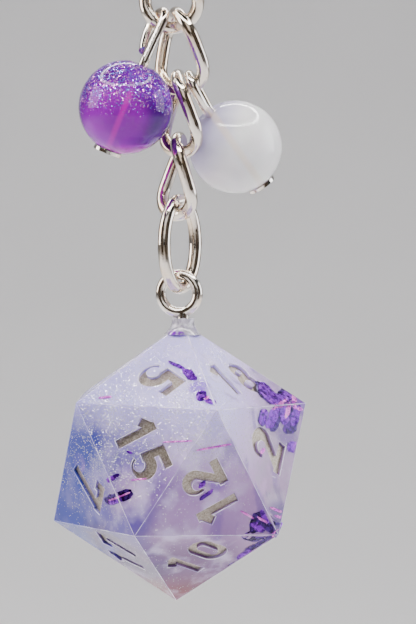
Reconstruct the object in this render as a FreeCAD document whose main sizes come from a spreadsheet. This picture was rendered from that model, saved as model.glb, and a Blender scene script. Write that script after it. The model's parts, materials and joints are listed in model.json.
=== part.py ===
"""Twenty-sided die charm: a cast resin die that hangs by its eye pin from a jump ring and
four twisted chain links, with a purple and a white bead dangling from the chain.

Millimetres, +Z up, +X to the right and +Y away from the viewer. The origin is the inner
top of the top link, where a hook, a key ring or another link carries the charm.
"""
import FreeCAD, Part
import math
import os

from FreeCAD import Matrix, Placement, Rotation, Vector

DRIVING_SIZES = {
    # curb chain: the opening of a link, how far a link is turned from its top to its bottom,
    # and the gap between two crossing wires as a share of the chain's wire
    "chain_wire": 1.1,
    "link_opening_length": 5.5,
    "link_opening_width": 3.4,
    "link_twist": 60.0,
    "contact_share": 0.127,
    # plain oval jump ring between the chain and the die
    "ring_wire": 1.1,
    "ring_opening_length": 6.4,
    "ring_opening_width": 3.4,
    # eye pin set in the top corner of the die
    "eye_wire": 0.9,
    "eye_diameter": 4.15,
    "eye_turn": -14.0,
    "eye_offset": 0.4,
    "shank_core": 1.0,
    "shank_length": 5.4,
    "thread_pitch": 0.6,
    "thread_height": 0.15,
    # resin neck that closes the corner around the shank
    "neck_height": 0.45,
    "neck_diameter": 1.95,
    "skirt_diameter": 3.2,
    "skirt_drop": 0.95,
    # die and its engraved, paint-filled numerals
    "die_across_flats": 19.0,
    "digit_height": 3.7,
    "digit_width": 2.3,
    "digit_stroke": 0.76,
    "digit_space": 0.45,
    "lone_digit_share": 1.2,
    "engraving_depth": 0.5,
    "paint_thickness": 0.2,
    "foil_thickness": 0.12,
    # round beads, flat about their holes, on flat-headed pins
    "bead_diameter": 8.0,
    "bead_flat_diameter": 2.3,
    "bead_clearance": 0.05,
    "pin_wire": 0.8,
    "pin_head_diameter": 2.5,
    "pin_head_thickness": 0.28,
    "pin_loop_play": 0.17,
    "pin_knee_radius": 1.0,
    "pin_rise": 0.3,
    "pin_tail_radius": 4.2,
    "pin_tail_drop": 2.7,
    "purple_arm": 3.6,
    "white_arm": 2.4,
}

X_AXIS = Vector(1, 0, 0)
Y_AXIS = Vector(0, 1, 0)
Z_AXIS = Vector(0, 0, 1)

# Each link hangs on the one above: its turn about the chain line, its lean to the right
# going down, and where its top wire sits along the bend that carries it, in wires' thickness.
LINK_POSES = {
    "chain_link_1": {"turn": -10.0, "lean": 0.0, "seat": 0.0},
    "chain_link_2": {"turn": -48.0, "lean": 6.0, "seat": 0.364},
    "chain_link_3": {"turn": -66.0, "lean": 2.8, "seat": -0.5},
    "chain_link_4": {"turn": -71.0, "lean": -2.0, "seat": -0.273},
}
JUMP_RING_POSE = {"turn": 54.0, "lean": 0.0, "seat": 0.364}
DIE_POSE = {"turn": 16.7, "lean": -1.4, "seat": -0.045}

# Each dangle: the link that carries it, its seat along that link's bottom bend (as a link's
# is), the lean of its arm going up, to the right and to the back, and the same two leans of the
# bead's axis. The loop's turn says where its tail lies: behind the arm or before it. The
# bead's near side stands off the plumb line of its hinge, or reaches past it if negative.
DANGLES = {
    "purple": {"link": "chain_link_1", "seat": -1.182, "arm": (23.0, 18.0), "axis": (21.5, -5.0),
               "loop_turn": 25.0, "arm_size": "purple_arm", "stand": -0.8},
    "white": {"link": "chain_link_2", "seat": 0.909, "arm": (-27.0, -14.0), "axis": (-34.0, -15.0),
              "loop_turn": 172.0, "arm_size": "white_arm", "stand": 0.344},
}

# Corners of the icosahedron: T and B are the top and bottom ones, U0 to U4 the upper ring
# with U0 in front, and D0 to D4 the lower ring with D0 half a step to the right of U0.
# Each face: its number, its three corners, and first of them the one its number points to.
FACES = {
    18: ("T", "U0", "U1"), 4: ("U1", "U2", "T"), 11: ("T", "U2", "U3"), 13: ("U4", "T", "U3"),
    5: ("U0", "T", "U4"), 2: ("U0", "U1", "D0"), 12: ("D4", "U0", "D0"), 15: ("U0", "U4", "D4"),
    7: ("D4", "D3", "U4"), 20: ("U1", "D0", "D1"), 14: ("D1", "U1", "U2"), 6: ("U2", "D1", "D2"),
    9: ("D2", "U2", "U3"), 19: ("U3", "D2", "D3"), 1: ("D3", "U3", "U4"), 10: ("D4", "D0", "B"),
    8: ("D0", "D1", "B"), 16: ("D1", "D2", "B"), 3: ("D2", "D3", "B"), 17: ("D3", "D4", "B"),
}

# Foil flakes cast into the resin, in the die's own frame: the centre, the three turns that
# set the plate's lie, its length and its width.
FOIL = {
    "foil_upper_right": [
        ((8.6, -2.6, 4.2), (20, 60, 10), 2.6, 1.3),
        ((8.0, -3.6, 5.0), (75, 35, 0), 2.2, 1.0),
        ((8.9, -1.4, 2.4), (10, 80, 40), 2.4, 1.2),
        ((7.2, -1.8, 4.6), (130, 50, 20), 2.0, 1.4),
    ],
    "foil_lower_right": [
        ((6.6, -5.6, -4.6), (30, 70, 15), 2.8, 1.4),
        ((7.4, -3.9, -5.3), (100, 40, 30), 2.4, 1.2),
        ((5.4, -6.6, -3.0), (60, 20, 60), 2.2, 1.0),
        ((5.0, -5.0, -5.8), (150, 60, 0), 2.0, 1.3),
    ],
    "foil_front": [
        ((-6.2, -6.6, -3.0), (28, 12, 8), 2.3, 0.9),
    ],
}

# Outline of a flake, for a plate one unit long and one unit wide.
FLAKE_OUTLINE = [(-0.5, 0.1), (-0.2, 0.5), (0.35, 0.42), (0.5, -0.15), (0.15, -0.5),
                 (-0.4, -0.35)]

document = FreeCAD.newDocument("die_charm")
sheet = document.addObject("Spreadsheet::Sheet", "sizes")
for row, (alias, value) in enumerate(DRIVING_SIZES.items(), start=1):
    sheet.set(f"A{row}", alias)
    sheet.set(f"B{row}", str(value))
    sheet.setAlias(f"B{row}", alias)
document.recompute()

sub_parts = []


def size(alias):
    """A driving dimension, as the sheet holds it."""
    return float(sheet.get(alias))


def helper(kind, name, **expressions):
    """A primitive whose sizes are bound to the sheet."""
    solid = document.addObject(kind, name)
    for prop, expression in expressions.items():
        solid.setExpression(prop, expression)
    return solid


def combine(kind, name, base, tool):
    """The cut or the union of two document objects."""
    result = document.addObject(kind, name)
    result.Base = base
    result.Tool = tool
    if kind == "Part::Cut":
        result.Refine = True
    return result


def keep(item, label, placement=None):
    """Name a finished object as a sub-part and set where it stands."""
    item.Label = label
    if placement is not None:
        item.Placement = placement
    sub_parts.append(item)
    return item


def keep_shape(label, shape, placement=None):
    """A sub-part whose shape is worked out from the sheet's values."""
    item = document.addObject("Part::Feature", label)
    item.Shape = shape
    return keep(item, label, placement or Placement())


# ---------------------------------------------------------------- round wire

def wire_run(start, heading, length, wire):
    """A straight run of round wire, with where it ends."""
    face = Part.Face(Part.Wire(Part.makeCircle(wire / 2, start, heading)))
    return face.extrude(heading * length), start + heading * length


def wire_arc(start, heading, toward, radius, degrees, wire):
    """An arc of round wire that bends toward a side, with its end and its new heading."""
    centre = start + toward * radius
    axis = heading.cross(toward)
    face = Part.Face(Part.Wire(Part.makeCircle(wire / 2, start, heading)))
    turn = Rotation(axis, degrees)
    end = centre + turn.multVec(start - centre)
    return face.revolve(centre, axis, degrees), end, turn.multVec(heading)


def arc_to(start, heading, end, wire):
    """The one arc of wire that leaves along a heading and reaches a point."""
    chord = end - start
    across = chord - heading * chord.dot(heading)
    if across.Length < 1e-7:
        return wire_run(start, heading, chord.Length, wire)[0]
    toward = Vector(across).normalize()
    radius = chord.Length ** 2 / (2 * across.Length)
    degrees = math.degrees(2 * math.atan2(across.Length, chord.dot(heading)))
    return wire_arc(start, heading, toward, radius, degrees, wire)[0]


def two_arcs(start, start_heading, end, end_heading, wire):
    """Two arcs of wire, tangent to each other, between two stations of a centreline."""
    chord = end - start
    along = chord.dot(start_heading + end_heading)
    spread = 2 * (1 - start_heading.dot(end_heading))
    if spread < 1e-9:
        reach = chord.Length ** 2 / (2 * along)
    else:
        reach = (math.sqrt(along ** 2 + spread * chord.Length ** 2) - along) / spread
    middle = (start + start_heading * reach + end - end_heading * reach) / 2
    first = arc_to(start, start_heading, middle, wire)
    second = arc_to(end, end_heading * -1, middle, wire)
    return [first, second]


def closed_wire(stations, wire):
    """A closed ring of round wire through stations of (point, heading)."""
    pieces = []
    for index, (start, start_heading) in enumerate(stations):
        end, end_heading = stations[(index + 1) % len(stations)]
        pieces += two_arcs(start, start_heading, end, end_heading, wire)
    return pieces[0].multiFuse(pieces[1:]).Solids[0]


# ---------------------------------------------------------------- chain

def link_frame():
    """Centreline length, bend radius and twist of a link."""
    wire = size("chain_wire")
    length = size("link_opening_length") + wire
    return length, (size("link_opening_width") + wire) / 2, size("link_twist")


def link_station(across, down, slope_across, slope_down):
    """A point and heading of the twisted centreline, from those of the flat link.

    The flat link lies in the XZ plane with its top wire at the origin, and each height is
    turned about Z in proportion to how far down the link it is."""
    length, _, twist = link_frame()
    turn = Rotation(Z_AXIS, twist * (down / length - 0.5))
    point = turn.multVec(Vector(across, 0, -down))
    heading = turn.multVec(Vector(slope_across, 0, -slope_down))
    heading += Z_AXIS.cross(point) * (math.radians(twist) / length * slope_down)
    return point, heading.normalize()


def link_shape():
    """One twisted link: two half-round bends joined by two arms."""
    length, radius, _ = link_frame()
    stations = []
    for side, bend_down in ((1, radius), (-1, length - radius)):
        for degrees in (0, 45, 90, 135):
            angle = math.radians(degrees)
            stations.append(link_station(-side * radius * math.cos(angle),
                                         bend_down - side * radius * math.sin(angle),
                                         side * math.sin(angle), -side * math.cos(angle)))
        stations.append(link_station(side * radius, bend_down, 0, side))
        stations.append(link_station(side * radius, length / 2, 0, side))
    return closed_wire(stations, size("chain_wire"))


def link_seat(seat):
    """Centre of the bottom bend's wire beside its lowest point, and its tangent."""
    length, radius, _ = link_frame()
    offset = seat * size("chain_wire")
    angle = math.asin(offset / radius)
    down = length - radius * (1 - math.cos(angle))
    return link_station(offset, down, math.cos(angle), -math.sin(angle))


def ring_station(degrees):
    """A point and heading of the oval ring's centreline, its top wire at the origin."""
    wire = size("ring_wire")
    half_width = (size("ring_opening_width") + wire) / 2
    half_length = (size("ring_opening_length") + wire) / 2
    angle = math.radians(degrees)
    point = Vector(half_width * math.sin(angle), 0, half_length * (math.cos(angle) - 1))
    heading = Vector(half_width * math.cos(angle), 0, -half_length * math.sin(angle))
    return point, heading.normalize()


def hang(pose, seat_point):
    """Placement of a piece whose top wire is at its own origin."""
    lean = Placement(seat_point, Rotation(Y_AXIS, -pose["lean"]))
    return lean.multiply(Placement(Vector(), Rotation(Z_AXIS, pose["turn"])))


def carried(placement, local_seat):
    """Where a carried wire bears on a bend: the bend's wire centre and its tangent."""
    point, heading = local_seat
    return placement.multVec(point), placement.Rotation.multVec(heading)


def spacing(first_wire, second_wire):
    """From centre to centre of two crossing wires, with the gap between them."""
    return (first_wire + second_wire) / 2 + size("contact_share") * size("chain_wire")


def above(point, lower_wire, upper_wire):
    """Centre of a wire that rests across another one."""
    return point + Z_AXIS * spacing(lower_wire, upper_wire)


def build_chain():
    """Four twisted links and the jump ring, with the placement of each."""
    wire = size("chain_wire")
    shape = link_shape()
    placements = {}
    seat_point = Vector(0, 0, wire / 2)
    previous = None
    for name, pose in LINK_POSES.items():
        if previous is not None:
            bearing, _ = carried(placements[previous], link_seat(pose["seat"]))
            seat_point = above(bearing, wire, wire)
        placements[name] = hang(pose, seat_point)
        keep_shape(name, shape, placements[name])
        previous = name
    bearing, _ = carried(placements[previous], link_seat(JUMP_RING_POSE["seat"]))
    placements["jump_ring"] = hang(JUMP_RING_POSE, above(bearing, wire, size("ring_wire")))
    ring = closed_wire([ring_station(degrees) for degrees in range(0, 360, 45)],
                       size("ring_wire"))
    keep_shape("jump_ring", ring, placements["jump_ring"])
    return placements


def ring_seat(seat):
    """Centre of the oval ring's wire beside its lowest point, and its tangent."""
    offset = seat * size("ring_wire")
    half_width = (size("ring_opening_width") + size("ring_wire")) / 2
    point, heading = ring_station(180 - math.degrees(math.asin(offset / half_width)))
    return point, heading * -1


# ---------------------------------------------------------------- die

def die_radius():
    """Centre to corner, from the distance across two opposite faces."""
    golden = (1 + math.sqrt(5)) / 2
    edge = size("die_across_flats") * math.sqrt(3) / golden ** 2
    return edge * math.sqrt(golden * math.sqrt(5)) / 2


def die_corners():
    """The twelve corners, keyed by name."""
    radius = die_radius()
    height = radius / math.sqrt(5)
    corners = {"T": Vector(0, 0, radius), "B": Vector(0, 0, -radius)}
    for index in range(5):
        for ring, level, step in (("U", height, 0.0), ("D", -height, 0.5)):
            angle = math.radians(72 * (index + step))
            corners[f"{ring}{index}"] = Vector(2 * height * math.sin(angle),
                                               -2 * height * math.cos(angle), level)
    return corners


def face_frame(corners, pointed, second, third):
    """Placement on a face: Z out of it, Y toward the corner that its number points to."""
    top = corners[pointed]
    centre = (top + corners[second] + corners[third]) / 3
    out = Vector(centre).normalize()
    upward = (top - centre).normalize()
    right = upward.cross(out)
    axes = Matrix(right.x, upward.x, out.x, centre.x, right.y, upward.y, out.y, centre.y,
                  right.z, upward.z, out.z, centre.z, 0, 0, 0, 1)
    return Placement(axes)


def icosahedron(corners):
    """The plain die as one solid."""
    faces = []
    for names in FACES.values():
        points = [corners[name] for name in names]
        faces.append(Part.Face(Part.makePolygon(points + points[:1])))
    return Part.makeSolid(Part.makeShell(faces))


def bar(start, end, grow_start=0.0, grow_end=0.0):
    """A straight stroke between two points, grown past its ends where strokes meet."""
    stroke = size("digit_stroke")
    first, last = Vector(*start, 0), Vector(*end, 0)
    along = (last - first).normalize()
    side = Vector(-along.y, along.x, 0) * (stroke / 2)
    first -= along * (grow_start * stroke)
    last += along * (grow_end * stroke)
    corners = [first - side, last - side, last + side, first + side]
    return Part.Face(Part.makePolygon(corners + corners[:1]))


def hoop(centre, radius):
    """A closed round stroke."""
    stroke = size("digit_stroke")
    discs = [Part.Face(Part.Wire(Part.makeCircle(reach, Vector(*centre, 0))))
             for reach in (radius + stroke / 2, radius - stroke / 2)]
    return discs[0].cut(discs[1])


def bow(centre, radius, start_degrees, end_degrees, start_share=1.0, end_share=1.0):
    """A round stroke, counter-clockwise between two angles, that may thin toward its ends."""
    half_stroke = size("digit_stroke") / 2
    stations = ((start_degrees, start_share), ((start_degrees + end_degrees) / 2, 1.0),
                (end_degrees, end_share))
    sides = []
    for direction in (1, -1):
        points = []
        for degrees, share in stations:
            reach = radius + direction * half_stroke * share
            spoke = Rotation(Z_AXIS, degrees).multVec(X_AXIS)
            points.append(Vector(*centre, 0) + spoke * reach)
        sides.append(points)
    arcs = [Part.Arc(*points).toShape() for points in sides]
    ends = [Part.makeLine(sides[0][index], sides[1][index]) for index in (0, -1)]
    return Part.Face(Part.Wire([arcs[0], ends[1], arcs[1], ends[0]]))


def digit_strokes(digit):
    """The strokes of a digit: its centreline fills a box from (0, 0) to (wide, tall)."""
    stroke = size("digit_stroke")
    wide = size("digit_width") - stroke
    tall = size("digit_height") - stroke
    half = wide / 2
    low = tall / 4 + wide / 20
    slope = math.radians(40)
    hook = (half + half * math.cos(slope), tall - half - half * math.sin(slope))
    shapes = {
        "0": [bow((half, tall - half), half, 0, 180), bow((half, half), half, 180, 360),
              bar((0, half), (0, tall - half)), bar((wide, half), (wide, tall - half))],
        "1": [bar((half, 0), (half, tall), 0.5, 0.5),
              bar((half, tall), (0, tall * 0.78), 0, 0.2)],
        "2": [bow((half, tall - half), half, -40, 205, 1, 0.35), bar(hook, (0, 0), 0.1, 0.3),
              bar((0, 0), (wide, 0), 0.5, 0.5)],
        "3": [bow((half, tall * 0.75), tall / 4, -90, 165, 1, 0.4),
              bow((half, tall / 4), tall / 4, -165, 90, 0.4, 1)],
        "4": [bar((wide * 0.75, 0), (wide * 0.75, tall), 0.5, 0.5),
              bar((wide * 0.75, tall), (0, tall * 0.3), 0.3, 0.3),
              bar((0, tall * 0.3), (wide, tall * 0.3), 0.5, 0.5)],
        "5": [bar((0.1 * wide, tall), (wide, tall), 0.5, 0.3),
              bar((0.1 * wide, tall), (0, low + 0.6 * half), 0, 0.2),
              bow((half - 0.1 * wide, low), low, -160, 125, 0.3, 1)],
        "6": [hoop((half, half), half),
              bow((wide * 1.25, half), wide * 1.25, 115, 180, 0.4, 1)],
        "7": [bar((0, tall), (wide, tall), 0.5, 0.5), bar((wide, tall), (wide * 0.3, 0), 0.2, 0.5),
              bar((0, tall), (0, tall - 0.7 * stroke), 0, 0.2)],
        "8": [hoop((half, low), low), hoop((half, tall / 2 + low), tall / 2 - low)],
        "9": [hoop((half, tall - half), half),
              bow((-wide * 0.25, tall - half), wide * 1.25, -65, 0, 0.4, 1)],
    }
    return shapes[digit]


def numeral_face(number):
    """The flat outline of a number, centred on the face, with a dot beside 6 and 9."""
    step = size("digit_width") + size("digit_space")
    stroke = size("digit_stroke")
    text = str(number)
    faces = []
    for index, digit in enumerate(text):
        shift = Vector((index - (len(text) - 1) / 2) * step - (size("digit_width") - stroke) / 2,
                       -(size("digit_height") - stroke) / 2, 0)
        for face in digit_strokes(digit):
            faces.append(face.translated(shift))
    if text in ("6", "9"):
        dot = Vector(step / 2 + stroke, -(size("digit_height") - stroke) / 2, 0)
        faces.append(Part.Face(Part.Wire(Part.makeCircle(stroke / 2, dot))))
    share = size("lone_digit_share") if len(text) == 1 else 1.0
    return [face.scaled(share) for face in faces]


def numeral_solid(number, bottom, top):
    """A number as a block between two levels measured from the face of the die."""
    blocks = [face.translated(Vector(0, 0, bottom)).extrude(Z_AXIS * (top - bottom))
              for face in numeral_face(number)]
    return blocks[0].multiFuse(blocks[1:]).removeSplitter()


def outline_points(profile):
    """The (radius, height) points of a turned outline, in its plane."""
    return [Vector(radius, 0, height) for radius, height in profile]


def lathe(edges):
    """A turned solid from the closed outline of one half."""
    return Part.Face(Part.Wire(edges)).revolve(Vector(), Z_AXIS, 360)


def shank_shape(top, reach):
    """The ribbed shank, from a height down through its reach, with a pointed tip."""
    core = size("shank_core") / 2
    rib = core + size("thread_height")
    pitch = size("thread_pitch")
    tip = top - reach
    profile = [(0, top), (0, tip), (core * 0.3, tip), (core, tip + core)]
    for index in range(math.floor((size("shank_length") - core) / pitch)):
        foot = tip + core + index * pitch
        profile += [(rib, foot + pitch / 2), (core, foot + pitch)]
    profile += [(core, top), (0, top)]
    return lathe(Part.makePolygon(outline_points(profile)).Edges)


def neck_sleeve(corner_height):
    """Neck and flared skirt about the top corner, before the die is taken out of it."""
    top = corner_height + size("neck_height")
    hem = corner_height - size("skirt_drop")
    neck, skirt = size("neck_diameter") / 2, size("skirt_diameter") / 2
    waist = (neck + (skirt - neck) * 0.22, corner_height - size("skirt_drop") * 0.4)
    around = outline_points([(neck, corner_height), waist, (skirt, hem)])
    inside = outline_points([(skirt, hem), (0, hem), (0, top), (neck, top),
                             (neck, corner_height)])
    return lathe([Part.Arc(*around).toShape()] + Part.makePolygon(inside).Edges)


def foil_plates(flakes):
    """Thin six-sided plates, each at its own lie."""
    plates = []
    thickness = size("foil_thickness")
    for centre, turns, length, width in flakes:
        points = [Vector(across * length, along * width, -thickness / 2)
                  for across, along in FLAKE_OUTLINE]
        plate = Part.Face(Part.makePolygon(points + points[:1])).extrude(Z_AXIS * thickness)
        plate.Placement = Placement(Vector(*centre), Rotation(*turns))
        plates.append(plate)
    return Part.makeCompound(plates)


def build_die(chain):
    """The die, its neck and eye pin, its painted numerals and its foil."""
    eye_wire, eye_diameter = size("eye_wire"), size("eye_diameter")
    bearing, _ = carried(chain["jump_ring"], ring_seat(DIE_POSE["seat"]))
    top_wire = above(bearing, size("ring_wire"), eye_wire)
    lean = Placement(top_wire, Rotation(Y_AXIS, -DIE_POSE["lean"]))
    radius = die_radius()
    eye_drop = eye_diameter - eye_wire / 2
    centre_drop = eye_drop + size("neck_height") + radius
    in_die = Placement(Vector(size("eye_offset"), 0, -centre_drop),
                       Rotation(Z_AXIS, DIE_POSE["turn"]))
    placement = lean.multiply(in_die)

    corners = die_corners()
    blank = icosahedron(corners)
    shank_top = radius + size("neck_height") + eye_wire / 2
    shank = shank_shape(shank_top, size("shank_length") + eye_wire / 2)

    ring = helper("Part::Torus", "eye_ring", Radius1="(sizes.eye_diameter - sizes.eye_wire) / 2",
                  Radius2="sizes.eye_wire / 2")
    ring_height = shank_top + (eye_diameter - eye_wire) / 2
    face_on = Rotation(Z_AXIS, size("eye_turn") - DIE_POSE["turn"])
    ring.Placement = Placement(face_on.multVec(Vector(-size("eye_offset"), 0, ring_height)),
                               face_on.multiply(Rotation(X_AXIS, 90)))
    stem = document.addObject("Part::Feature", "eye_shank")
    stem.Shape = shank
    keep(combine("Part::Fuse", "eye_pin_solid", ring, stem), "eye_pin", placement)
    document.recompute()
    pin_solid = ring.Shape.fuse(shank)

    keep_shape("resin_neck", neck_sleeve(radius).cut([blank, pin_solid]), placement)

    tools = [pin_solid]
    for number, names in FACES.items():
        frame = face_frame(corners, *names)
        floor = -size("engraving_depth")
        pocket = numeral_solid(number, floor, size("engraving_depth"))
        paint = numeral_solid(number, floor, floor + size("paint_thickness"))
        pocket.Placement = frame
        paint.Placement = frame
        tools.append(pocket)
        keep_shape(f"numeral_{number}", paint.copy(), placement.multiply(frame))
    for name, flakes in FOIL.items():
        plates = foil_plates(flakes)
        tools += plates.Solids
        keep_shape(name, plates, placement)
    keep_shape("die_body", blank.cut(tools), placement)
    return placement


# ---------------------------------------------------------------- bead dangles

def leaning(sideways, forward):
    """Unit vector that points up, leaning to the right and toward the back by two angles."""
    return Vector(math.tan(math.radians(sideways)), math.tan(math.radians(forward)), 1).normalize()


def build_dangle(colour, plan, chain):
    """A bead on a flat-headed pin whose upper end is bent into a long loop."""
    wire = size("pin_wire")
    loop_radius = (size("chain_wire") + wire) / 2 + size("pin_loop_play")
    hinge = carried(chain[plan["link"]], link_seat(plan["seat"]))
    arm_up = leaning(*plan["arm"])
    axis_up = leaning(*plan["axis"])
    backward = Rotation(Z_AXIS, plan["loop_turn"]).multVec(Y_AXIS)
    backward = (backward - arm_up * backward.dot(arm_up)).normalize()
    rise = spacing(size("chain_wire"), wire)
    loop_centre = hinge[0] + arm_up * (rise - loop_radius)

    side = loop_centre + backward * loop_radius
    tail_radius = size("pin_tail_radius")
    tail_angle = math.degrees(math.asin(size("pin_tail_drop") / tail_radius))
    tail, _, _ = wire_arc(side, arm_up * -1, backward * -1, tail_radius, tail_angle, wire)
    loop, end, heading = wire_arc(side, arm_up, backward * -1, loop_radius, 180, wire)
    arm, end = wire_run(end, heading, size(plan["arm_size"]), wire)
    toward = (axis_up * -1 - heading * heading.dot(axis_up * -1)).normalize()
    knee_angle = math.degrees(heading.getAngle(axis_up * -1))
    knee, end, heading = wire_arc(end, heading, toward, size("pin_knee_radius"), knee_angle, wire)
    bead_radius = size("bead_diameter") / 2
    half_bore = math.sqrt(bead_radius ** 2 - (size("bead_flat_diameter") / 2) ** 2)
    centre = end + heading * (size("pin_rise") + half_bore)
    shaft_length = size("pin_rise") + 2 * half_bore + size("bead_clearance")
    shaft, end = wire_run(end, heading, shaft_length, wire)
    head = Part.makeCylinder(size("pin_head_diameter") / 2, size("pin_head_thickness"), end, heading)
    pin = tail.multiFuse([loop, arm, knee, shaft, head])

    # The dangle leans out about its hinge until the bead's near side is where it stands.
    reach = centre - hinge[0]
    outward = Vector(reach.x, reach.y, 0).normalize()
    lean = math.asin((bead_radius + plan["stand"]) / reach.Length)
    leaned = Rotation(reach, outward * math.sin(lean) - Z_AXIS * math.cos(lean))
    settle = Placement(Vector(), leaned, hinge[0])
    keep_shape(f"pin_{colour}", pin.Solids[0], settle)

    ball = helper("Part::Sphere", f"ball_{colour}", Radius="sizes.bead_diameter / 2",
                  Angle1="-acos(sizes.bead_flat_diameter / sizes.bead_diameter)",
                  Angle2="acos(sizes.bead_flat_diameter / sizes.bead_diameter)")
    bore = helper("Part::Cylinder", f"bore_{colour}", Height="sizes.bead_diameter",
                  Radius="sizes.pin_wire / 2 + sizes.bead_clearance")
    bore.Placement = Placement(Vector(0, 0, -bead_radius), Rotation())
    keep(combine("Part::Cut", f"drilled_{colour}", ball, bore), f"bead_{colour}",
         settle.multiply(Placement(centre, Rotation(Z_AXIS, axis_up))))
    return {"hinge": hinge, "centre": settle.multVec(centre), "axis": leaned.multVec(axis_up)}


# ---------------------------------------------------------------- assembly

chain_placements = build_chain()
die_placement = build_die(chain_placements)
dangle_frames = {colour: build_dangle(colour, plan, chain_placements)
                 for colour, plan in DANGLES.items()}

document.recompute()
for item in document.Objects:
    if "Invalid" in item.State or "Error" in item.State:
        raise RuntimeError(f"{item.Label} failed to recompute")
for item in sub_parts:
    if item.Shape.isNull() or not item.Shape.isValid():
        raise RuntimeError(f"{item.Label} has no valid shape")

os.makedirs("parts", exist_ok=True)
for item in sub_parts:
    item.Shape.exportStep(f"parts/{item.Label}.step")
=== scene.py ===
"""Looks of the twenty-sided die charm: milky lavender resin with violet foil, painted numerals,
bright twisted chain, and a purple and a white bead.

Metres, in the frame of the CAD model: +Z up, +X to the right, the viewer on the -Y side.
"""
import json
import math
import random
from itertools import combinations

import bmesh
import bpy
from mathutils import Matrix, Vector


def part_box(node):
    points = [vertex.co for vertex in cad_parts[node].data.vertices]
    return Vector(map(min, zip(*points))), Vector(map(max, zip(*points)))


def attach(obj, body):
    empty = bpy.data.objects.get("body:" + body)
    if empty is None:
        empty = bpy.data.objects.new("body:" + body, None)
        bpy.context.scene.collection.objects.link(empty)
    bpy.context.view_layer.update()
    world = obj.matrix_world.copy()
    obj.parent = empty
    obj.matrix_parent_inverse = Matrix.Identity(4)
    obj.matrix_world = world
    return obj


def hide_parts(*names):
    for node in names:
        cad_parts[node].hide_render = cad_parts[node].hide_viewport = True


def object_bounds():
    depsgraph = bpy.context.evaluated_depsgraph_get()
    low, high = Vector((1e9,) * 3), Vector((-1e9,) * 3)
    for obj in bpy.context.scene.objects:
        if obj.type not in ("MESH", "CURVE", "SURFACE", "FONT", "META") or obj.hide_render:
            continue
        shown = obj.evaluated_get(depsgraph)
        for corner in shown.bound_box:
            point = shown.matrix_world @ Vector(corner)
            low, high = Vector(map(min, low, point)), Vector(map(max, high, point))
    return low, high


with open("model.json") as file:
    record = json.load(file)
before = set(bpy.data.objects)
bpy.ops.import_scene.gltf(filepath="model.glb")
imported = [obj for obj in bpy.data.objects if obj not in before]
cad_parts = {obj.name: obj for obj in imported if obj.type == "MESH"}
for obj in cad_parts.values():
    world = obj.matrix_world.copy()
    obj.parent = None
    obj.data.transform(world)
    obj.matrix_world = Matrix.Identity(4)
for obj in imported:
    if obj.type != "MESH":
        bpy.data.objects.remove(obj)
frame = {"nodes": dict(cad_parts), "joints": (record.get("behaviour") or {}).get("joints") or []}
cad_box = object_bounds()

MM = 0.001

# How far the worn edges of the die, and the rims of its engraved numbers, are blunted.
EDGE_BLUNTING = 0.1 * MM
RIM_BLUNTING = 0.05 * MM

# What finds the die's corners and edges among its vertices. Two corners are further apart than
# the spacing, and two that share an edge are no further apart than the slack allows.
DIE_CORNERS = 12
CORNER_SPACING = 5 * MM
EDGE_SLACK = 1.1

# What tells the edges of its mesh apart. A vertex nearer to an edge of the die than the
# tolerance lies on it. The mesh turns by less than the first angle within a flat face, by more
# than the second at an edge of the die, and by more than the third at the rim of a number.
EDGE_TOLERANCE = 0.01 * MM
WELD_DISTANCE = 0.0005 * MM
FLAT_TURN = math.radians(0.4)
EDGE_TURN = math.radians(20)
RIM_TURN = math.radians(60)

# A face belongs to the front view where its normal's Y is under this.
FRONT_FACING = -0.05

# Violet and dark stains in the resin, in millimetres from the die's centre: place, reach and colour.
STAINS = [
    ((10.0, -2.0, 3.6), 3.6, (0.20, 0.04, 0.46)),
    ((8.2, -6.0, -5.0), 2.8, (0.09, 0.01, 0.30)),
    ((1.6, -7.6, 7.4), 1.3, (0.22, 0.10, 0.60)),
    ((3.4, -9.4, -0.8), 1.3, (0.22, 0.10, 0.44)),
    ((-8.6, -5.0, 0.4), 1.1, (0.20, 0.12, 0.46)),
    ((-5.2, -4.0, -8.2), 5.2, (0.09, 0.06, 0.15)),
]

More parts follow.
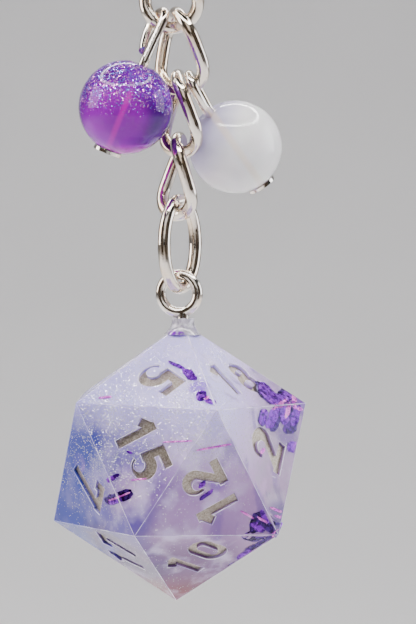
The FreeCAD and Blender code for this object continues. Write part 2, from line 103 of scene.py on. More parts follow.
# Foil at the resin's surface, by tint. Each flake has its place in the front view, across and
# up from the die's centre, its length, its width and its turn, in millimetres and degrees.
FLAKES = {
    "indigo": [
        (7.3, 6.1, 2.1, 0.9, -40), (9.2, 5.9, 1.6, 1.2, 20), (9.5, 3.5, 1.7, 1.3, 75),
        (8.2, 3.9, 1.9, 0.8, 70), (7.2, -4.9, 2.8, 2.2, -35), (7.8, -5.4, 1.9, 1.7, 60),
        (6.3, -5.6, 1.6, 1.2, -15), (6.3, -7.1, 2.4, 1.3, 32), (7.2, -6.6, 1.7, 0.9, 20),
        (7.0, 4.3, 1.3, 0.7, 75), (9.6, 4.6, 1.3, 0.9, 10), (4.6, -8.3, 1.0, 0.35, 30),
        (-5.0, -2.15, 2.5, 0.95, 24),
    ],
    "violet": [
        (7.7, 5.95, 2.5, 0.9, -42), (8.9, 5.6, 2.1, 1.0, 30), (9.9, 4.2, 1.8, 0.8, 80),
        (7.9, 4.2, 1.9, 0.9, 68), (7.1, 4.3, 1.4, 0.7, 75), (8.9, 4.3, 1.6, 0.8, 100),
        (9.75, 1.5, 1.2, 0.95, -20), (5.6, -7.5, 1.5, 0.9, 30), (7.2, -3.9, 1.3, 0.5, -60),
        (0.9, 7.9, 1.1, 0.8, -50), (-0.2, 8.6, 1.5, 0.3, -20), (1.9, 6.3, 0.9, 0.8, 15),
        (2.6, 5.9, 1.0, 0.4, -10), (-5.5, -0.5, 1.2, 0.3, 25), (-5.6, -0.7, 0.8, 0.3, 30),
        (1.95, -1.0, 0.7, 0.45, 35), (2.3, -1.9, 1.4, 0.35, 35), (-4.1, 1.6, 0.5, 0.22, -20),
        (-5.3, -2.5, 1.2, 0.5, 22), (6.6, -4.8, 1.2, 0.6, -40),
    ],
    "pink": [
        (-0.1, 2.6, 2.5, 0.15, 4), (3.0, 2.15, 3.1, 0.18, 9), (9.8, 5.4, 0.8, 0.5, -60),
        (8.8, 5.3, 0.7, 0.45, 20), (9.2, 4.6, 1.1, 0.45, 80), (10.1, 4.7, 0.8, 0.4, -10),
        (8.1, 5.0, 0.6, 0.35, 30), (5.7, -3.7, 1.3, 0.2, -32), (7.0, -4.2, 1.0, 0.22, -30),
        (8.2, -3.5, 1.3, 0.22, -28), (8.4, -4.1, 0.9, 0.2, -28), (2.4, 6.15, 0.6, 0.24, 30),
        (-3.3, -0.6, 1.3, 0.15, 8), (-6.2, 6.0, 1.1, 0.2, 8), (8.1, -5.5, 0.6, 0.4, 50),
        (-4.95, -2.1, 2.0, 0.16, 24), (7.0, 1.5, 0.5, 0.35, 50), (7.0, -7.1, 0.9, 0.35, 25),
    ],
}
# How high each tint lies over the resin, with the pink slivers on top, and a flake's film: its
# thickness, the height of its crinkles, the spacing of its rows of points, and how near it comes
# to an edge of its face, as a share of the face.
FLAKE_LIFT = {"indigo": 0.022 * MM, "violet": 0.036 * MM, "pink": 0.05 * MM}
FLAKE_THICKNESS = 0.012 * MM
FLAKE_CRINKLE = 0.03 * MM
FLAKE_ROW = 0.2 * MM
FLAKE_MARGIN = 0.02

# Foil colours: a painted shade in its creases, its own, and a painted flash of highlight where it
# catches the light.
FOIL_TINTS = {
    "indigo": ((0.02, 0.0, 0.08), (0.07, 0.01, 0.26), (0.22, 0.03, 0.50)),
    "violet": ((0.10, 0.0, 0.34), (0.30, 0.02, 0.70), (0.62, 0.12, 0.90)),
    "pink": ((0.75, 0.10, 0.85), (1.0, 0.25, 0.90), (1.0, 0.65, 1.0)),
}

# Metal colours, and what tarnish leaves of red, green and blue.
CHAIN_TINT = (0.80, 0.73, 0.65)
PIN_TINT = (0.84, 0.79, 0.74)
TARNISH = (0.9, 0.78, 0.64)

# The backdrop: how far its floor is under the charm, how wide it is to each side, where it
# begins and where it starts to rise, the radius of its sweep, and its height.
FLOOR_DROP = 0.06
FLOOR_HALF_WIDTH = 1.2
FLOOR_FRONT = -0.9
FLOOR_BACK = 0.35
FLOOR_SWEEP = 0.25
FLOOR_RISE = 1.2

# Soft boxes, placed from the charm's centre, which they face: name, place, width, height, power
# in watts and tint. The flags are placed in the same way.
SOFT_BOXES = [
    ("left_box", (-0.34, -0.02, 0.12), 0.2, 0.24, 1.0, (1.0, 0.93, 0.88)),
    ("right_box", (0.36, 0.04, 0.08), 0.2, 0.24, 0.8, (0.93, 0.95, 1.0)),
    ("front_fill", (0, -0.8, 0.35), 0.6, 0.5, 1.3, (1.0, 0.98, 0.97)),
]
FLAGS = [("left_flag", (-0.17, -0.26, -0.03)), ("right_flag", (0.17, -0.26, -0.03))]
FLAG_SIZE = (0.24, 0.42)

# The ring lamp hangs over the purple bead. Both beads mirror it.
RING_LAMP_OVER_BEAD = (0, 0.03, 0.21)
RING_LAMP_RADIUS = 0.18
RING_LAMP_WIDTH = 0.034
RING_LAMP_GLOW = 26.0

# Colour of the surroundings, and their strength as a light and as the camera sees them.
WORLD_COLOUR = (0.64, 0.62, 0.62, 1)
WORLD_FILL = 0.06
WORLD_SEEN = 0.9

# Camera: its distance, how far it looks down, its lens and sensor in millimetres, and the point
# it aims at, from the die's centre.
CAMERA_DISTANCE = 0.3
CAMERA_PITCH = math.radians(2.8)
CAMERA_LENS = 202
CAMERA_SENSOR = 36
CAMERA_NEAREST = 0.01
AIM_FROM_DIE = Vector((2.44 * MM, 0, 12.9 * MM))


# ---------------------------------------------------------------- materials

class Finish:
    """A material under construction: one Principled shader and short ways to feed it."""

    def __init__(self, name, **values):
        self.material = bpy.data.materials.new(name)
        self.material.use_nodes = True
        self.tree = self.material.node_tree
        self.shader = self.tree.nodes["Principled BSDF"]
        for socket, value in values.items():
            self.set(socket.replace("_", " "), value)

    def set(self, socket, value):
        """A constant or another node's output on one of the shader's sockets."""
        if isinstance(value, bpy.types.NodeSocket):
            self.tree.links.new(value, self.shader.inputs[socket])
        elif isinstance(value, tuple) and len(value) == 3 and "Radius" not in socket:
            self.shader.inputs[socket].default_value = (*value, 1)
        else:
            self.shader.inputs[socket].default_value = value

    def node(self, kind, inputs, **settings):
        """A node with its inputs joined or set, in order or by name."""
        made = self.tree.nodes.new(kind)
        for key, value in settings.items():
            setattr(made, key, value)
        for key, value in inputs.items():
            if isinstance(value, bpy.types.NodeSocket):
                self.tree.links.new(value, made.inputs[key])
            elif isinstance(value, tuple) and len(value) == 3 and made.inputs[key].type == "RGBA":
                made.inputs[key].default_value = (*value, 1)
            else:
                made.inputs[key].default_value = value
        return made

    def place(self, centre):
        """Position in millimetres from a centre, in the piece's own frame."""
        coordinates = self.node("ShaderNodeTexCoord", {})
        moved = self.node("ShaderNodeVectorMath", {0: coordinates.outputs["Object"],
                                                   1: tuple(centre)}, operation="SUBTRACT")
        scaled = self.node("ShaderNodeVectorMath", {0: moved.outputs[0], "Scale": 1 / MM},
                           operation="SCALE")
        return scaled.outputs[0]

    def noise(self, place, size_mm, detail=3.0, roughness=0.5, distortion=0.0):
        """Smooth noise from 0 to 1 with features of a size."""
        made = self.node("ShaderNodeTexNoise",
                         {"Vector": place, "Scale": 1 / size_mm, "Detail": detail,
                          "Roughness": roughness, "Distortion": distortion})
        return made.outputs["Fac"]

    def along(self, place, direction):
        """How far a place is along a direction, in millimetres."""
        made = self.node("ShaderNodeVectorMath", {0: place, 1: tuple(direction)},
                         operation="DOT_PRODUCT")
        return made.outputs["Value"]

    def scaled(self, place, shares):
        """A place with each of its three parts multiplied by a share."""
        made = self.node("ShaderNodeVectorMath", {0: place, 1: shares}, operation="MULTIPLY")
        return made.outputs[0]

    def spread(self, value, low, high, to_low=0.0, to_high=1.0):
        """A value eased from one range to another, and held at its ends."""
        made = self.node("ShaderNodeMapRange",
                         {"Value": value, "From Min": low, "From Max": high,
                          "To Min": to_low, "To Max": to_high}, interpolation_type="SMOOTHSTEP")
        return made.outputs["Result"]

    def calc(self, operation, first, second=0.0):
        """Arithmetic on two values."""
        made = self.node("ShaderNodeMath", {0: first, 1: second}, operation=operation)
        return made.outputs[0]

    def mix(self, share, first, second):
        """A colour between two, by a share of the second."""
        made = self.node("ShaderNodeMix", {0: share, 6: first, 7: second}, data_type="RGBA")
        return made.outputs[2]

    def near(self, place, point, reach):
        """1 at a point, easing to 0 at a distance, in millimetres."""
        made = self.node("ShaderNodeVectorMath", {0: place, 1: tuple(point)},
                         operation="DISTANCE")
        return self.spread(made.outputs["Value"], 0.55 * reach, reach, 1.0, 0.0)

    def bump(self, height, depth_mm, strength=1.0):
        """Surface relief on the shader's normal."""
        made = self.node("ShaderNodeBump", {"Height": height, "Strength": strength,
                                            "Distance": depth_mm * MM})
        self.set("Normal", made.outputs["Normal"])


def steel(name, tint, centre):
    """Plated wire: bright, with faint polishing marks and patches of warmer tarnish."""
    finish = Finish(name, Metallic=1.0)
    place = finish.place(centre)
    tarnish = finish.spread(finish.noise(place, 2.2, detail=4), 0.42, 0.72)
    tarnished = tuple(channel * warm for channel, warm in zip(tint, TARNISH))
    colour = finish.mix(tarnish, tint, tarnished)
    finish.set("Base Color", colour)
    grain = finish.noise(place, 0.22, detail=5, roughness=0.65)
    finish.set("Roughness", finish.spread(grain, 0.3, 0.75, 0.07, 0.22))
    finish.bump(grain, 0.02, 0.35)
    return finish.material


def glitter(finish, place, cell_mm, share, where):
    """Mask of tiny specks, in a share of the cells of a random grid, and each cell's colour.

    The value called where thins them out as it falls from 1 to 0.
    """
    cells = finish.node("ShaderNodeTexVoronoi", {"Vector": place, "Scale": 1 / cell_mm})
    dot = finish.spread(cells.outputs["Distance"], 0.3, 0.5, 1.0, 0.0)
    pick = finish.node("ShaderNodeSeparateColor", {0: cells.outputs["Color"]})
    chosen = finish.calc("LESS_THAN", pick.outputs[0], finish.calc("MULTIPLY", where, share))
    return finish.calc("MULTIPLY", dot, chosen), cells.outputs["Color"]


def glint(finish, speck, lie, sway):
    """Turn the shader's normal at each speck by the speck's own random lie."""
    normal = finish.node("ShaderNodeNewGeometry", {}).outputs["Normal"]
    centred = finish.node("ShaderNodeVectorMath", {0: lie, 1: (0.5, 0.5, 0.5)},
                          operation="SUBTRACT").outputs[0]
    amount = finish.calc("MULTIPLY", speck, sway)
    tilt = finish.node("ShaderNodeVectorMath", {0: centred, "Scale": amount},
                       operation="SCALE").outputs[0]
    tilted = finish.node("ShaderNodeVectorMath", {0: normal, 1: tilt}, operation="ADD")
    unit = finish.node("ShaderNodeVectorMath", {0: tilted.outputs[0]}, operation="NORMALIZE")
    finish.set("Normal", unit.outputs[0])


def resin_colour(finish, place, height, right, cloud, fine):
    """Clouded lavender: painted light above, painted shade below with a peach tip, blue on the left,
    stained.
    """
    colour = finish.mix(finish.spread(cloud, 0.3, 0.7), (0.30, 0.16, 0.42), (0.50, 0.33, 0.60))
    # Painted light: paler toward the top, which the lamp above lights.
    colour = finish.mix(finish.spread(height, -2, 6), colour, (0.52, 0.47, 0.88))
    # Painted shade: darker toward the bottom.
    colour = finish.mix(finish.spread(height, -3.5, -7.5), colour, (0.17, 0.09, 0.21))
    colour = finish.mix(finish.spread(height, -8.5, -11.5), colour, (0.21, 0.07, 0.09))
    colour = finish.mix(finish.spread(right, 3, 8, 0, 0.7), colour, (0.46, 0.27, 0.52))
    drift = finish.calc("ADD", right, finish.spread(cloud, 0.25, 0.75, -2.5, 2.5))
    blue = finish.calc("MULTIPLY", finish.spread(drift, -0.5, -9),
                       finish.spread(height, 7, 2, 0.35, 1.0))
    colour = finish.mix(blue, colour, (0.03, 0.045, 0.29))
    milk = finish.calc("MULTIPLY", finish.spread(fine, 0.46, 0.7, 0.0, 0.5),
                       finish.spread(right, -9, -2, 0.2, 1.0))
    colour = finish.mix(milk, colour, (0.72, 0.63, 0.92))
    drawn_out = finish.scaled(place, (1.0, 1.0, 0.4))
    wisp = finish.spread(finish.noise(drawn_out, 1.5, detail=4), 0.54, 0.68, 0, 0.5)
    wisp = finish.calc("MULTIPLY", wisp, finish.spread(right, -2, 6))
    colour = finish.mix(wisp, colour, (0.10, 0.05, 0.30))
    for point, reach, tint in STAINS:
        stain = finish.calc("MULTIPLY", finish.near(place, point, reach),
                            finish.spread(fine, 0.36, 0.54, 0.1, 0.9))
        colour = finish.mix(stain, colour, tint)
    return colour


def die_resin(centre):
    """Milky lavender resin, dusted with glitter on its upper left and clearer on its right."""
    finish = Finish("milky_resin", IOR=1.5, Specular_IOR_Level=0.25,
                    Subsurface_Radius=(1.0, 0.8, 1.2), Subsurface_Scale=1.2 * MM,
                    Subsurface_Weight=0.6)
    place = finish.place(centre)
    height = finish.along(place, (0, 0, 1))
    right = finish.along(place, (1, 0, 0))
    cloud = finish.noise(place, 7, detail=2)
    fine = finish.noise(place, 2.6, detail=4)
    colour = resin_colour(finish, place, height, right, cloud, fine)
    dusted = finish.calc("MULTIPLY", finish.spread(height, -5, 3, 0.12, 1.0),
                         finish.spread(right, 9, 1, 0.15, 1.0))
    dusted = finish.calc("MULTIPLY", dusted, finish.spread(cloud, 0.35, 0.6, 0.35, 1.0))
    speck, lie = glitter(finish, place, 0.1, 0.6, dusted)
    colour = finish.mix(speck, colour, (0.90, 0.90, 1.0))
    finish.set("Base Color", colour)
    finish.set("Metallic", finish.calc("MULTIPLY", speck, 0.6))
    clear = finish.spread(finish.calc("ADD", right, finish.spread(fine, 0.3, 0.7, -1.5, 1.5)),
                          5.5, 8.5)
    finish.set("Transmission Weight", finish.calc("MULTIPLY", clear, 0.4))
    scuff = finish.noise(place, 1.1, detail=5, roughness=0.7)
    finish.set("Roughness", finish.spread(scuff, 0.35, 0.75, 0.1, 0.28))
    glint(finish, speck, lie, 0.9)
    return finish.material


def painted_edge_highlight(centre):
    """Painted highlight on the blunted edges of the resin and the rims of its numbers: thin pale
    lines where they catch the light, broken up by noise.
    """
    finish = Finish("painted_edge_highlight", IOR=1.5, Subsurface_Weight=0.4, Subsurface_Scale=0.6 * MM,
                    Subsurface_Radius=(1.0, 0.9, 1.1))
    place = finish.place(centre)
    wear_and_sheen = finish.noise(place, 1.4, detail=4)
    # Painted highlight: pale where the noise is high, darker lavender between.
    colour = finish.mix(finish.spread(wear_and_sheen, 0.4, 0.66), (0.40, 0.33, 0.60), (0.90, 0.86, 1.0))
    blue = finish.spread(finish.along(place, (1, 0, 0)), -5, -10.5)
    colour = finish.mix(finish.calc("MULTIPLY", blue, 0.7), colour, (0.08, 0.15, 0.6))
    finish.set("Base Color", colour)
    finish.set("Roughness", finish.spread(wear_and_sheen, 0.3, 0.7, 0.2, 0.4))
    return finish.material


def clear_resin(centre):
    """Glossy clear resin with a faint cloud and two violet flakes at its foot."""
    finish = Finish("clear_resin", IOR=1.5, Coat_Weight=0.5, Coat_Roughness=0.03,
                    Subsurface_Weight=0.4, Subsurface_Radius=(1.0, 0.9, 1.1),
                    Subsurface_Scale=1.0 * MM)
    place = finish.place(centre)
    cloud = finish.noise(place, 0.8, detail=3, distortion=1.5)
    colour = finish.mix(cloud, (0.62, 0.56, 0.76), (0.92, 0.90, 0.98))
    flakes = finish.calc("MAXIMUM", finish.near(place, (-0.85, -1.1, -0.75), 0.62),
                         finish.near(place, (-0.15, -1.3, -0.75), 0.5))
    flakes = finish.calc("MULTIPLY", flakes, finish.spread(cloud, 0.3, 0.45))
    finish.set("Base Color", finish.mix(flakes, colour, (0.24, 0.01, 0.55)))
    finish.set("Transmission Weight", finish.spread(cloud, 0.35, 0.7, 0.6, 0.2))
    finish.set("Roughness", finish.spread(cloud, 0.3, 0.7, 0.05, 0.16))
    return finish.material


def numeral_paint(centre):
    """Worn silver-grey metallic paint, grainy, with darker dust in its hollows."""
    finish = Finish("numeral_paint", Metallic=0.75)
    place = finish.place(centre)
    grain = finish.noise(place, 0.16, detail=5, roughness=0.7)
    worn = finish.noise(place, 1.3, detail=4)
    colour = finish.mix(finish.spread(grain, 0.3, 0.7), (0.22, 0.18, 0.14), (0.50, 0.45, 0.39))
    colour = finish.mix(finish.spread(worn, 0.5, 0.75, 0, 0.6), colour, (0.18, 0.14, 0.11))
    finish.set("Base Color", colour)
    finish.set("Roughness", finish.spread(grain, 0.2, 0.8, 0.25, 0.5))
    finish.bump(grain, 0.04, 0.6)
    return finish.material


def foil(name, centre, shade, colour, flash):
    """Crinkled iridescent film between a painted shade in its creases, its own colour and a painted
    flash of pink on its crinkles.
    """
    finish = Finish(name, Metallic=0.55, Coat_Weight=0.25, Coat_Roughness=0.06)
    place = finish.place(centre)
    crease = finish.noise(place, 0.5, detail=3, distortion=0.4)
    # Painted shade in the low creases and a painted highlight, the flash, on the high crinkles.
    tint = finish.mix(finish.spread(crease, 0.36, 0.54), shade, colour)
    tint = finish.mix(finish.spread(crease, 0.58, 0.7), tint, flash)
    finish.set("Base Color", tint)
    finish.set("Roughness", finish.spread(crease, 0.3, 0.7, 0.15, 0.4))
    finish.bump(crease, 0.1, 0.8)
    return finish.material


def painted_bore_band(finish, place, bore, half_width):
    """1 along the band of a bead's surface that has the bore straight before or behind it, for a
    painted streak of the bore seen through the glass.
    """
    side = bore.cross(Vector((0, 1, 0))).normalized()
    off = finish.calc("ABSOLUTE", finish.along(place, side))
    return finish.spread(off, half_width, 0.2 * half_width)


def purple_glass(centre, bore):
    """Deep purple bead: painted magenta light toward its middle and foot and along its bore, glitter
    in its upper half.
    """
    finish = Finish("purple_glass", IOR=1.5, Specular_IOR_Level=0.2)
    place = finish.place(centre)
    height = finish.along(place, (0, 0, 1))
    cloud = finish.noise(place, 2.5, detail=2, distortion=0.6)
    colour = finish.mix(finish.spread(cloud, 0.3, 0.7), (0.05, 0.0, 0.14), (0.14, 0.0, 0.34))
    flattened = finish.scaled(place, (1.0, 0.0, 1.0))
    # Painted light: brighter magenta toward the middle and lower left.
    lit = finish.near(flattened, (-0.9, 0.0, -0.9), 3.6)
    colour = finish.mix(finish.calc("MULTIPLY", lit, 0.8), colour, (0.30, 0.0, 0.45))
    painted_streak = finish.calc("MULTIPLY", painted_bore_band(finish, place, bore, 0.36),
                         finish.spread(height, 2.2, 0.6, 0.0, 0.5))
    # Painted streak: bright magenta light along the bore, as the glass shows it through itself.
    colour = finish.mix(painted_streak, colour, (0.70, 0.0, 0.50))
    # Painted glow: light focused by the glass, low on the front left.
    glow = finish.near(place, (-2.3, -1.9, -2.6), 2.2)
    colour = finish.mix(finish.calc("MULTIPLY", glow, 0.25), colour, (0.50, 0.0, 0.75))
    # Painted glow: light focused by the glass at the foot.
    painted_foot_glow = finish.spread(height, -2.9, -3.8)
    colour = finish.mix(painted_foot_glow, colour, (0.40, 0.0, 0.42))
    speck, lie = glitter(finish, place, 0.12, 0.9, finish.spread(height, -1.4, 2.2))
    spark = finish.mix(finish.spread(finish.noise(place, 0.35), 0.42, 0.58), (0.20, 0.30, 1.0),
                       (1.0, 0.35, 0.85))
    colour = finish.mix(speck, colour, spark)
    finish.set("Base Color", colour)
    finish.set("Metallic", finish.calc("MULTIPLY", speck, 0.7))
    finish.set("Transmission Weight", finish.spread(height, 2.5, -2.5, 0.05, 0.2))
    finish.set("Roughness", finish.spread(cloud, 0.3, 0.7, 0.02, 0.07))
    glint(finish, speck, lie, 0.8)
    return finish.material


def opal_glass(centre, bore):
    """Milky opal bead: bluish toward the upper left, warm white below, with a painted streak along
    its bore.
    """
    finish = Finish("opal_glass", IOR=1.5, Subsurface_Weight=0.7,
                    Subsurface_Radius=(1.0, 0.9, 1.0), Subsurface_Scale=2.0 * MM)
    place = finish.place(centre)
    cloud = finish.noise(place, 3, detail=2, distortion=0.6)
    colour = finish.mix(cloud, (0.88, 0.86, 0.96), (0.98, 0.97, 1.0))
    shade = finish.spread(finish.along(place, (-0.9, 0, 0.35)), -0.2, 3.4)
    colour = finish.mix(finish.calc("MULTIPLY", shade, 0.85), colour, (0.46, 0.43, 0.74))
    warm = finish.spread(finish.along(place, (0.3, 0, -0.95)), 0.6, 3.6)
    colour = finish.mix(warm, colour, (1.0, 0.95, 0.90))
    painted_streak = finish.calc("MULTIPLY", painted_bore_band(finish, place, bore, 0.5), 0.55)
    # Painted streak: the bore and its pin as the milky glass shows them, warm.
    colour = finish.mix(painted_streak, colour, (0.96, 0.82, 0.70))
    finish.set("Base Color", colour)
    finish.set("Transmission Weight", finish.spread(cloud, 0.3, 0.7, 0.12, 0.04))
    finish.set("Roughness", finish.spread(cloud, 0.3, 0.7, 0.03, 0.1))
    return finish.material


def paint_node(name, material):
    """Give a CAD node its finish."""
    mesh = frame["nodes"][name].data
    for index in range(len(mesh.materials)):
        mesh.materials[index] = material


def middle(node):
    """Centre of a node's box."""
    low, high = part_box(node)
    return (low + high) / 2


# ---------------------------------------------------------------- die

def die_corners():
    """The die's centre and its twelve corners; the eye pin's bore cuts the top one away."""
    box_centre = middle("die_body")
    points = [vertex.co.copy() for vertex in frame["nodes"]["die_body"].data.vertices]
    points.sort(key=lambda point: (point - box_centre).length, reverse=True)
    found = []
    for point in points:
        if all((point - other).length > CORNER_SPACING for other in found):
            found.append(point)
        if len(found) == DIE_CORNERS:
            break
    found.sort(key=lambda point: point.z)
    centre = sum(found[1:-1], Vector()) / (DIE_CORNERS - 2)
    return centre, found[:-1] + [centre * 2 - found[0]]


die_centre, corners = die_corners()
edge_length = min((other - corners[0]).length for other in corners[1:])
edges = [pair for pair in combinations(corners, 2)
         if (pair[0] - pair[1]).length < EDGE_SLACK * edge_length]
faces = [trio for trio in combinations(corners, 3)
         if all((first - second).length < EDGE_SLACK * edge_length
                for first, second in combinations(trio, 2))]
# A little less than the distance of a face: planes nearer to the centre are in an engraving.
face_radius = 0.99 * (sum(faces[0], Vector()) / 3 - die_centre).length


def distance_to_edges(point):
    """Shortest distance from a point to the die's edges."""
    best = 1.0
    for start, end in edges:
        along = end - start
        share = max(0.0, min(1.0, (point - start).dot(along) / along.length_squared))
        best = min(best, (start + along * share - point).length)
    return best


def on_die_edge(edge):
    """Whether an edge of the mesh lies on one of the die's thirty edges."""
    first, second = (vertex.co for vertex in edge.verts)
    return all(distance_to_edges(point) < EDGE_TOLERANCE
               for point in (first, second, (first + second) / 2))


def on_rim(edge):
    """Whether an edge is between a face of the die and the wall of a number."""
    sides = {face.normal.dot(edge.verts[0].co - die_centre) > face_radius
             for face in edge.link_faces}
    return sides == {True, False} and distance_to_edges(edge.verts[0].co) > EDGE_BLUNTING * 2


def blunted_die():
    """The die's body with its thirty edges and its rims blunted; the bevels take material 1, the
    painted edge highlight.
    """
    mesh = bpy.data.meshes.new("die_resin")
    body = bmesh.new()
    body.from_mesh(frame["nodes"]["die_body"].data)
    bmesh.ops.remove_doubles(body, verts=body.verts, dist=WELD_DISTANCE)
    bmesh.ops.dissolve_limit(body, angle_limit=FLAT_TURN, verts=body.verts, edges=body.edges)
    long_edges = [edge for edge in body.edges
                  if edge.calc_face_angle(0) > EDGE_TURN and on_die_edge(edge)]
    bmesh.ops.bevel(body, geom=long_edges, offset=EDGE_BLUNTING, segments=2, affect="EDGES",
                    profile=0.5, clamp_overlap=True, material=1)
    rims = [edge for edge in body.edges
            if edge.is_manifold and edge.calc_face_angle(0) > RIM_TURN and on_rim(edge)]
    bmesh.ops.bevel(body, geom=rims, offset=RIM_BLUNTING, segments=1, affect="EDGES",
                    profile=0.5, clamp_overlap=False, material=1)
    for face in body.faces:
        face.smooth = False
    body.to_mesh(mesh)
    body.free()
    return mesh


def new_piece(name, mesh, slot, *materials):
    """An object of the die, with its materials, that rides with the die. Its slot is not used."""
    piece = bpy.data.objects.new(name, mesh)
    bpy.context.scene.collection.objects.link(piece)
    for material in materials:
        mesh.materials.append(material)
    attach(piece, "die")
    return piece


def outward(face):
    """Unit normal of a face, away from the die's centre."""
    normal = (face[1] - face[0]).cross(face[2] - face[0]).normalized()
    return normal if normal.dot(face[0] - die_centre) > 0 else -normal


def spot_on_die(across, up):
    """The point of the die's front at a place of its front view, with its face and normal.

    Of the planes of all faces that look forward, the hindmost at that place is the surface.
    """
    best = None
    for face in faces:
        normal = outward(face)
        if normal.y < FRONT_FACING:
            x, z = die_centre.x + across, die_centre.z + up
            y = (normal.dot(face[0]) - normal.x * x - normal.z * z) / normal.y
            if best is None or y > best[0].y:
                best = (Vector((x, y, z)), face, normal)
    return best


def held_inside(point, face):
    """A point of a face's plane, moved inside the face's margin where it is outside."""
    across, along = face[1] - face[0], face[2] - face[0]
    area = across.cross(along)
    second = (point - face[0]).cross(along).dot(area) / area.length_squared
    third = across.cross(point - face[0]).dot(area) / area.length_squared
    shares = [max(FLAKE_MARGIN, share) for share in (1 - second - third, second, third)]
    return sum((corner * share for corner, share in zip(face, shares)), Vector()) / sum(shares)


def add_flake(body, centre, lie, length, width, lift, draw):
    """A crinkled strip of film, cut at a slant, laid on the front of the die.

    Its centre and its lie are in the front view, and draw gives its random numbers.
    """
    side = Vector((-lie.y, lie.x))
    slant = draw.uniform(-0.6, 0.6) * width
    stations = max(4, round(length / FLAKE_ROW))
    rows = []
    for station in range(stations + 1):
        share = station / stations
        reach = width * min(1.0, 0.5 + 3 * share, 3.5 - 3 * share) * draw.uniform(0.85, 1.0)
        row = []
        for level, crinkle in ((-0.5, 0), (draw.uniform(-0.15, 0.15), FLAKE_CRINKLE), (0.5, 0)):
            along = (share - 0.5) * length + level * slant
            place = centre + lie * along + side * level * reach
            point, face, normal = spot_on_die(*place)
            rise = lift + crinkle * draw.uniform(0.1, 1.0)
            row.append(body.verts.new(held_inside(point, face) + normal * rise))
        rows.append(row)
    for first, second in zip(rows, rows[1:]):
        for index in range(2):
            body.faces.new((first[index], second[index], second[index + 1], first[index + 1]))


def flakes_of(tint, plans):
    """All flakes of one tint as a mesh."""
    draw = random.Random(tint)
    body = bmesh.new()
    for across, up, length, width, turn in plans:
        lie = Vector((math.cos(math.radians(turn)), math.sin(math.radians(turn))))
        add_flake(body, Vector((across, up)) * MM, lie, length * MM, width * MM,
                  FLAKE_LIFT[tint], draw)
    bmesh.ops.solidify(body, geom=list(body.faces), thickness=FLAKE_THICKNESS)
    mesh = bpy.data.meshes.new(tint + "_flakes")
    body.to_mesh(mesh)
    body.free()
    return mesh


die = new_piece("die_resin", blunted_die(), "die_resin", die_resin(die_centre),
                painted_edge_highlight(die_centre))
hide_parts("die_body")

films = {tint: foil(tint + "_foil", die_centre, *shades)
         for tint, shades in FOIL_TINTS.items()}
for tint, plans in FLAKES.items():
    new_piece(tint + "_flakes", flakes_of(tint, plans), "foil", films[tint])

paint = numeral_paint(die_centre)
for node in frame["nodes"]:
    if node.startswith("numeral_"):
        paint_node(node, paint)
    elif node.startswith("foil_"):
        paint_node(node, films["violet"])
paint_node("resin_neck", clear_resin(middle("resin_neck")))

# ---------------------------------------------------------------- metal and beads

def bore_of(joint):
    """Direction of a bead's bore, which it spins about."""
    return next(Vector(each["axis"]) for each in frame["joints"] if each["name"] == joint)


for node in ("chain_link_1", "chain_link_2", "chain_link_3", "chain_link_4", "jump_ring"):
    paint_node(node, steel(node + "_steel", CHAIN_TINT, middle(node)))
for node in ("pin_purple", "pin_white", "eye_pin"):
    paint_node(node, steel(node + "_steel", PIN_TINT, middle(node)))
paint_node("bead_purple", purple_glass(middle("bead_purple"), bore_of("purple_bead_spin")))
paint_node("bead_white", opal_glass(middle("bead_white"), bore_of("white_bead_spin")))


# ---------------------------------------------------------------- studio

def stage_object(name, mesh, material):
    """A staging object, which isn't part of the charm."""
    item = bpy.data.objects.new(name, mesh)
    mesh.materials.append(material)
    bpy.context.scene.collection.objects.link(item)
    return item


def backdrop(level):
    """Pale floor that sweeps up behind the charm."""
    steps = 16
    profile = [(FLOOR_FRONT, level)]
    for step in range(steps + 1):
        angle = math.pi / 2 * step / steps
        profile.append((FLOOR_BACK + FLOOR_SWEEP * math.sin(angle),
                        level + FLOOR_SWEEP * (1 - math.cos(angle))))
    profile.append((FLOOR_BACK + FLOOR_SWEEP, level + FLOOR_RISE))
    points = [(side * FLOOR_HALF_WIDTH, y, z) for y, z in profile for side in (-1, 1)]
    panels = [(2 * index, 2 * index + 1, 2 * index + 3, 2 * index + 2)
              for index in range(len(profile) - 1)]
    mesh = bpy.data.meshes.new("backdrop")
    mesh.from_pydata(points, [], panels)
    for polygon in mesh.polygons:
        polygon.use_smooth = True
    finish = Finish("backdrop_paper", Roughness=0.9)
    grain = finish.noise(finish.place((0, 0, 0)), 30, detail=2)
    finish.set("Base Color", finish.mix(grain, (0.80, 0.80, 0.82), (0.84, 0.84, 0.86)))
    stage_object("backdrop", mesh, finish.material)


def facing(place, target):
    """Where something stands so that its -Z looks at a target."""
    turn = (target - place).to_track_quat("-Z", "Y").to_matrix().to_4x4()
    return Matrix.Translation(place) @ turn


def ring_light(centre):
    """A flat ring lamp that faces down."""
    count = 64
    points = []
    for index in range(count):
        angle = math.tau * index / count
        for reach in (RING_LAMP_RADIUS - RING_LAMP_WIDTH / 2,
                      RING_LAMP_RADIUS + RING_LAMP_WIDTH / 2):
            points.append(centre + Vector((reach * math.cos(angle), reach * math.sin(angle), 0)))
    panels = [(2 * index, (2 * index + 2) % (2 * count), (2 * index + 3) % (2 * count),
               2 * index + 1) for index in range(count)]
    mesh = bpy.data.meshes.new("ring_lamp")
    mesh.from_pydata(points, [], panels)
    glow = Finish("ring_lamp_glow", Base_Color=(0, 0, 0), Emission_Color=(1.0, 0.98, 0.96),
                  Emission_Strength=RING_LAMP_GLOW)
    lamp = stage_object("ring_lamp", mesh, glow.material)
    lamp.visible_camera = False


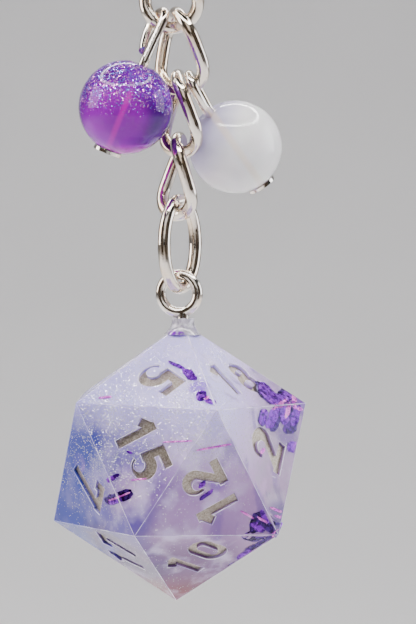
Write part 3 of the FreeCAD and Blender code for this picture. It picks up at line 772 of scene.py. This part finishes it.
def soft_box(name, place, target, width, height, power, tint):
    """A rectangular area lamp that faces a target."""
    lamp = bpy.data.lights.new(name, "AREA")
    lamp.shape = "RECTANGLE"
    lamp.size = width
    lamp.size_y = height
    lamp.energy = power
    lamp.color = tint
    item = bpy.data.objects.new(name, lamp)
    item.matrix_world = facing(place, target)
    bpy.context.scene.collection.objects.link(item)


def dark_flag(name, place, target, width, height):
    """A black card that only reflections see, which gives bright metal its dark lines."""
    across, along = width / 2, height / 2
    mesh = bpy.data.meshes.new(name)
    mesh.from_pydata([(-across, -along, 0), (across, -along, 0), (across, along, 0),
                      (-across, along, 0)], [], [(0, 1, 2, 3)])
    black = Finish(name + "_cloth", Base_Color=(0.03, 0.02, 0.012), Roughness=1.0)
    card = stage_object(name, mesh, black.material)
    card.matrix_world = facing(place, target)
    card.visible_camera = False
    card.visible_diffuse = False
    card.visible_shadow = False


low, high = cad_box
charm_centre = (low + high) / 2
backdrop(low.z - FLOOR_DROP)
ring_light(middle("bead_purple") + Vector(RING_LAMP_OVER_BEAD))
for name, place, width, height, power, tint in SOFT_BOXES:
    soft_box(name, charm_centre + Vector(place), charm_centre, width, height, power, tint)
for name, place in FLAGS:
    dark_flag(name, charm_centre + Vector(place), charm_centre, *FLAG_SIZE)

world = bpy.data.worlds.new("studio")
world.use_nodes = True
sky = world.node_tree.nodes["Background"]
sky.inputs["Color"].default_value = WORLD_COLOUR
seen = world.node_tree.nodes.new("ShaderNodeLightPath").outputs["Is Camera Ray"]
level = world.node_tree.nodes.new("ShaderNodeMapRange")
level.inputs["To Min"].default_value = WORLD_FILL
level.inputs["To Max"].default_value = WORLD_SEEN
world.node_tree.links.new(seen, level.inputs["Value"])
world.node_tree.links.new(level.outputs["Result"], sky.inputs["Strength"])
bpy.context.scene.world = world

# ---------------------------------------------------------------- camera

camera = bpy.data.objects.new("camera", bpy.data.cameras.new("camera"))
camera.data.lens = CAMERA_LENS
camera.data.sensor_width = CAMERA_SENSOR
camera.data.clip_start = CAMERA_NEAREST
aim = die_centre + AIM_FROM_DIE
back_toward = Vector((0, -math.cos(CAMERA_PITCH), math.sin(CAMERA_PITCH)))
camera.matrix_world = facing(aim + back_toward * CAMERA_DISTANCE, aim)
bpy.context.scene.collection.objects.link(camera)
bpy.context.scene.camera = camera
